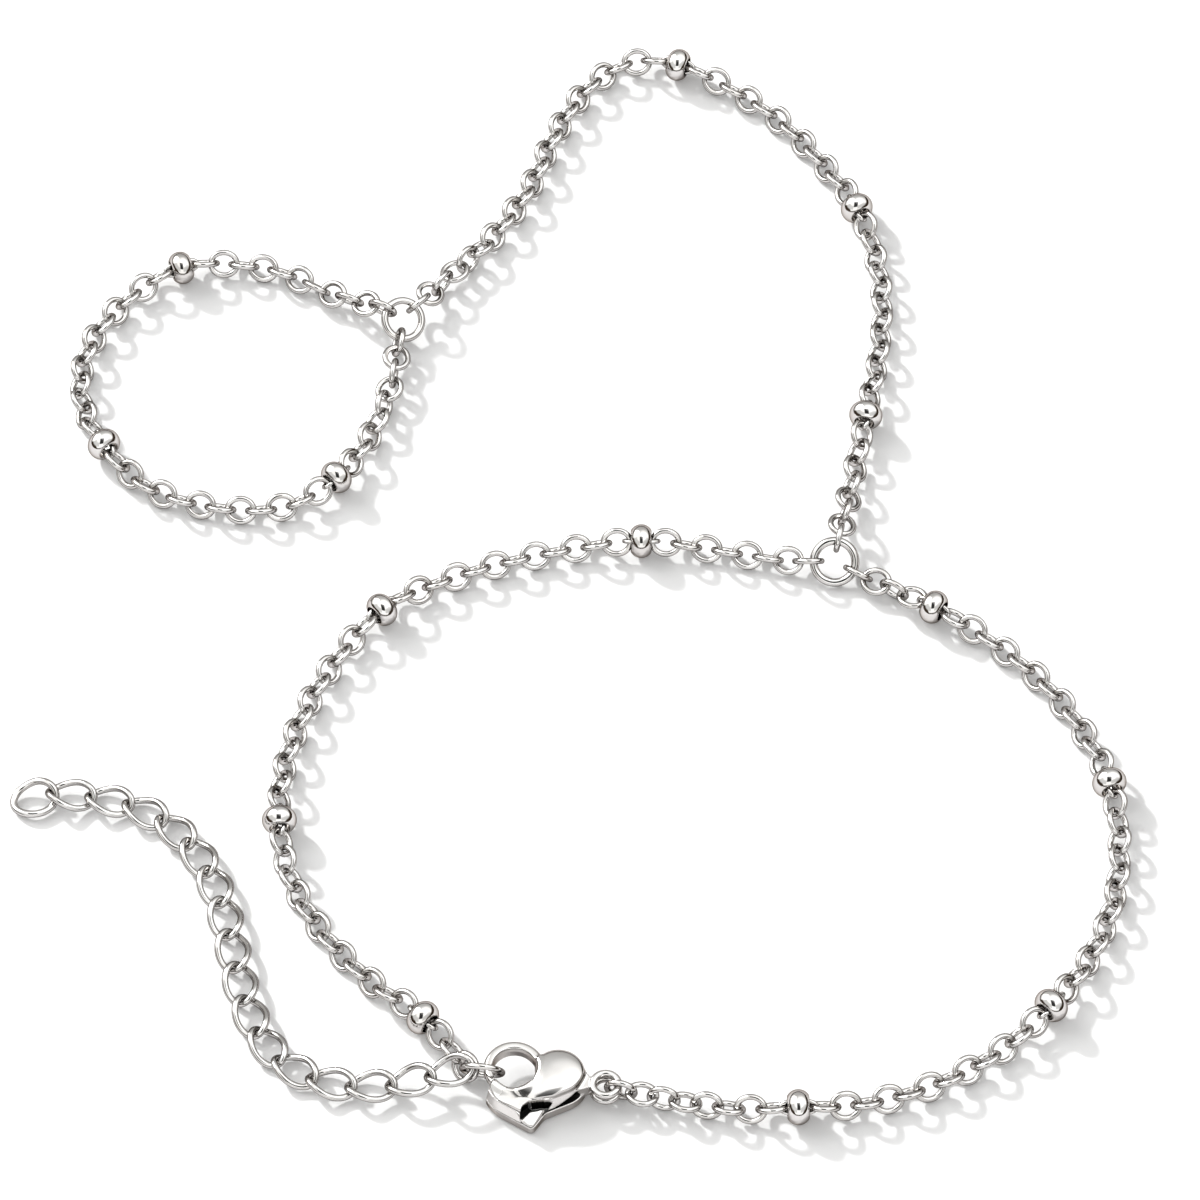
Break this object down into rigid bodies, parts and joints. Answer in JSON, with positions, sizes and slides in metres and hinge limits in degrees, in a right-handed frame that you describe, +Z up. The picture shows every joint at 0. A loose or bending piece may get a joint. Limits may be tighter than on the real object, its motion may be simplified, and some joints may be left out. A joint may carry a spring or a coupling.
{
  "type": "hand chain",
  "caption": "Beaded cable chain that loops round the wrist and over the hand to a finger loop, with a heart-shaped lobster clasp and a curb chain extender.",
  "frame": {"origin": "centre of the footprint of the hand chain as it lies, at table height", "axes": "+Z up from the table, +Y from the wrist loop towards the fingers, +X to the right as the picture shows it"},
  "size_m": [0.074, 0.09, 0.003],
  "materials": {
    "chain": "polished",
    "beads": "polished",
    "rings": "polished",
    "extender": "polished",
    "clasp": "polished",
    "lever": "polished"
  },
  "bodies": {
    "chain": {"bead_01": "beads", "bead_02": "beads", "bead_03": "beads", "bead_04": "beads", "bead_05": "beads", "bead_06": "beads", "bead_07": "beads", "bead_08": "beads", "bead_09": "beads", "bead_10": "beads", "bead_11": "beads", "bead_12": "beads", "bead_13": "beads", "bead_14": "beads", "wrist_chain_left": "chain", "wrist_chain_right": "chain", "hand_chain": "chain", "finger_chain": "chain", "extension_chain": "extender", "wrist_ring": "rings", "finger_ring": "rings", "clasp_ring": "rings", "end_ring": "rings", "clasp_body": "clasp", "clasp_pin": "lever"},
    "lever": {"clasp_lever": "lever"}
  },
  "joints": [
    {"name": "lever_swing", "type": "hinge", "parent": "chain", "child": "lever", "pos_m": [-0.00273, -0.04421, 0.0011], "axis": [0, 0, -1], "range_deg": [0, 16], "stiffness_Nm_per_rad": 0.002, "springref_deg": -11.46}
  ]
}
